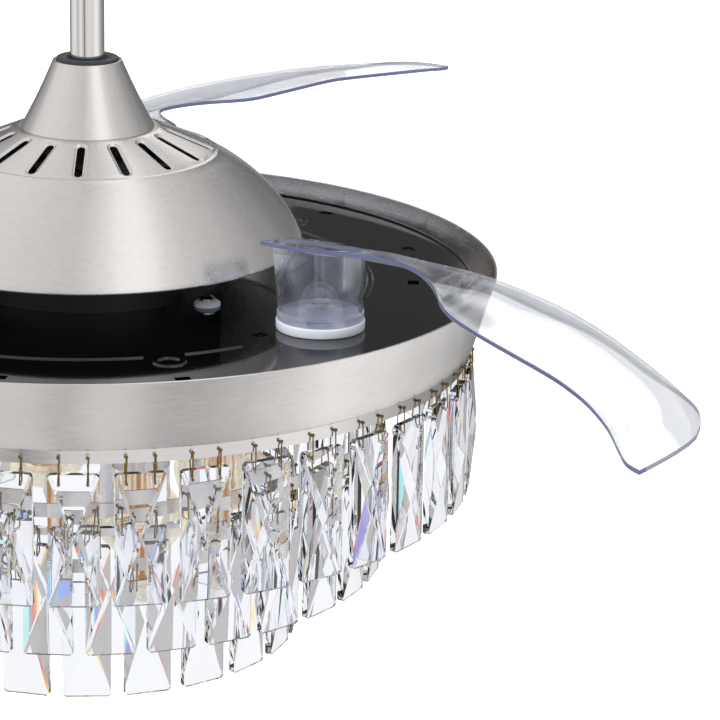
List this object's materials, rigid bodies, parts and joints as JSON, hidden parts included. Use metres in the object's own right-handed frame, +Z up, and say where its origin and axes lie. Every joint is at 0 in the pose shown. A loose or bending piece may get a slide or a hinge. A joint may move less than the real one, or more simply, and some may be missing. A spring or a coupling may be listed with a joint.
{
  "type": "retractable blade ceiling fan",
  "caption": "Ceiling fan on a downrod: clear folding blades swing out over a nickel pan, with tiers of cut crystals and lamps hung below.",
  "frame": {"origin": "centre of the ceiling bracket's upper face, where it meets the ceiling", "axes": "+Z up towards the ceiling along the downrod; +X along the line of the two ceiling screws"},
  "size_m": [0.8584, 0.9468, 0.6095],
  "materials": {
    "nickel": "brushed nickel plate",
    "steel": "bright zinc-plated steel",
    "dark_alloy": "black enamel on a die casting",
    "plain_alloy": "turned, bare",
    "zinc_casting": "dark grey enamel",
    "ball_nylon": "moulded black nylon",
    "white_plastic": "moulded white plastic",
    "white_nylon": "moulded white nylon",
    "natural_nylon": "natural nylon",
    "black_rubber": "soft black rubber",
    "black_enamel": "gloss black enamel",
    "lamination": "bare electrical steel",
    "copper_wire": "enamelled copper",
    "bearing_steel": "ground and polished",
    "ferrite": "sintered ferrite",
    "bronze": "sintered bronze",
    "spring_steel": "drawn wire",
    "clear_acrylic": "clear polished plastic",
    "crystal_glass": "cut and polished",
    "antique_brass": "antique brass wire",
    "porcelain": "glazed porcelain",
    "brass_cap": "spun brass",
    "lamp_glass": "blown clear glass",
    "filament": "amber phosphor over glass"
  },
  "bodies": {
    "ceiling": {"ceiling_bracket": "steel", "ball_seat": "steel", "canopy": "nickel", "canopy_screws": "nickel", "remote_receiver": "white_plastic"},
    "seat_pin": {"ball_pin": "steel"},
    "fixture": {"hanger_ball": "ball_nylon", "downrod": "nickel", "rod_coupling": "zinc_casting", "coupling_pins": "steel", "rubber_ring": "black_rubber", "coupling_cover": "nickel", "dome": "nickel", "dome_screws": "steel", "motor_axle": "steel", "stator_core": "lamination", "stator_windings": "copper_wire", "bearing_inner_races": "bearing_steel", "pan_band": "nickel", "light_plate": "nickel", "axle_nuts": "steel", "pan_screws": "steel", "crystal_ring_1": "nickel", "crystal_ring_2": "nickel", "crystal_ring_3": "nickel", "ring_hangers": "nickel", "crystals_tier_1": "crystal_glass", "crystals_tier_2": "crystal_glass", "crystals_tier_3": "crystal_glass", "crystal_pins": "antique_brass", "lamp_cups": "nickel", "lamp_sockets": "porcelain", "bulb_caps": "brass_cap", "bulb_glass": "lamp_glass", "bulb_filaments": "filament"},
    "rotor": {"bearing_outer_races": "bearing_steel", "bearing_balls": "bearing_steel", "upper_motor_shell": "dark_alloy", "lower_motor_shell": "dark_alloy", "magnet_ring": "ferrite", "motor_bolts": "steel", "hub_disc": "plain_alloy", "rotor_plate": "steel", "tray": "black_enamel", "tray_screws": "steel", "tray_washers": "white_nylon", "pivot_feet": "white_nylon", "pivot_bushes": "bronze", "stop_posts": "steel", "return_springs": "spring_steel"},
    "sun": {"sun_gear": "natural_nylon"},
    "blade_1_arm": {"pinion_1": "natural_nylon", "pivot_shaft_1": "steel", "blade_1": "clear_acrylic"},
    "blade_2_arm": {"pinion_2": "natural_nylon", "pivot_shaft_2": "steel", "blade_2": "clear_acrylic"},
    "blade_3_arm": {"pinion_3": "natural_nylon", "pivot_shaft_3": "steel", "blade_3": "clear_acrylic"}
  },
  "joints": [
    {"name": "tilt_fore_aft", "type": "hinge", "parent": "ceiling", "child": "seat_pin", "pos_m": [0, 0, -0.04], "axis": [1, 0, 0], "range_deg": [-12, 12]},
    {"name": "tilt_sideways", "type": "hinge", "parent": "seat_pin", "child": "fixture", "pos_m": [0, 0, -0.04], "axis": [0, 1, 0], "range_deg": [-12, 12]},
    {"name": "rotor_spin", "type": "hinge", "parent": "fixture", "child": "rotor", "pos_m": [0, 0, -0.372], "axis": [0, 0, 1], "continuous": true},
    {"name": "blade_1_swing", "type": "hinge", "parent": "rotor", "child": "blade_1_arm", "pos_m": [0.13636, -0.11442, -0.372], "axis": [0, 0, 1], "range_deg": [-108, 0], "deforming": ["return_springs"]},
    {"name": "blade_2_swing", "type": "hinge", "parent": "rotor", "child": "blade_2_arm", "pos_m": [0.03091, 0.1753, -0.372], "axis": [0, 0, 1], "range_deg": [-108, 0]},
    {"name": "blade_3_swing", "type": "hinge", "parent": "rotor", "child": "blade_3_arm", "pos_m": [-0.16726, -0.06088, -0.372], "axis": [0, 0, 1], "range_deg": [-108, 0]},
    {"name": "sun_turn", "type": "hinge", "parent": "rotor", "child": "sun", "pos_m": [0, 0, -0.372], "axis": [0, 0, 1], "range_deg": [0, 20.16]}
  ],
  "couplings": [
    {"joint": "blade_2_swing", "follows": "blade_1_swing", "ratio": 1},
    {"joint": "blade_3_swing", "follows": "blade_1_swing", "ratio": 1},
    {"joint": "sun_turn", "follows": "blade_1_swing", "ratio": -0.18667}
  ]
}
